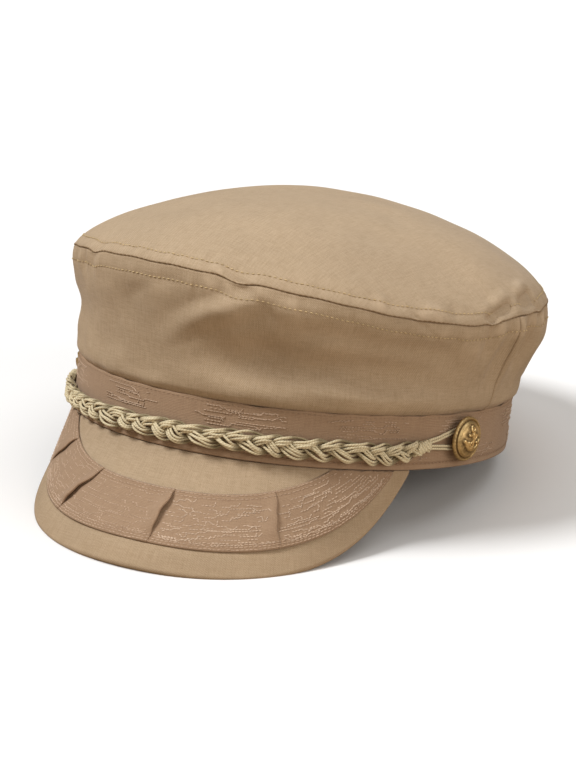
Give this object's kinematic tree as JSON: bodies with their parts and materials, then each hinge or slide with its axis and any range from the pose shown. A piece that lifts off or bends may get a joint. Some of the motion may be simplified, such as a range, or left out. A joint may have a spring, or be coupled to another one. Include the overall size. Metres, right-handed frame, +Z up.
{
  "type": "breton fisherman cap",
  "caption": "Cloth fisherman cap with a soft domed crown, a ribbon-trimmed band, a plaited cord between domed brass buttons, and a stiff peak with a pleated ribbon.",
  "frame": {"origin": "middle of the cap's box, on the surface that it rests on", "axes": "+Z up, front of the cap and its peak towards -Y, the wearer's left towards +X"},
  "size_m": [0.1902, 0.2554, 0.1187],
  "materials": {
    "khaki_twill": "matt washed cotton twill in warm khaki",
    "headband_cotton": "matt plain cotton",
    "jacquard_ribbon": "tone-on-tone woven ribbon with a broken raised pattern",
    "braid_cord": "soft sheen of twisted cotton cord",
    "aged_brass": "aged brass, darker in the recesses"
  },
  "bodies": {
    "root": {"crown_top": "khaki_twill", "crown_side_front": "khaki_twill", "crown_side_back": "khaki_twill", "headband": "headband_cotton", "band_ribbon": "jacquard_ribbon", "peak": "khaki_twill", "peak_ribbon": "jacquard_ribbon", "braid": "braid_cord", "cord_loop_left": "braid_cord", "cord_loop_right": "braid_cord", "button_left": "aged_brass", "button_right": "aged_brass"}
  },
  "joints": []
}
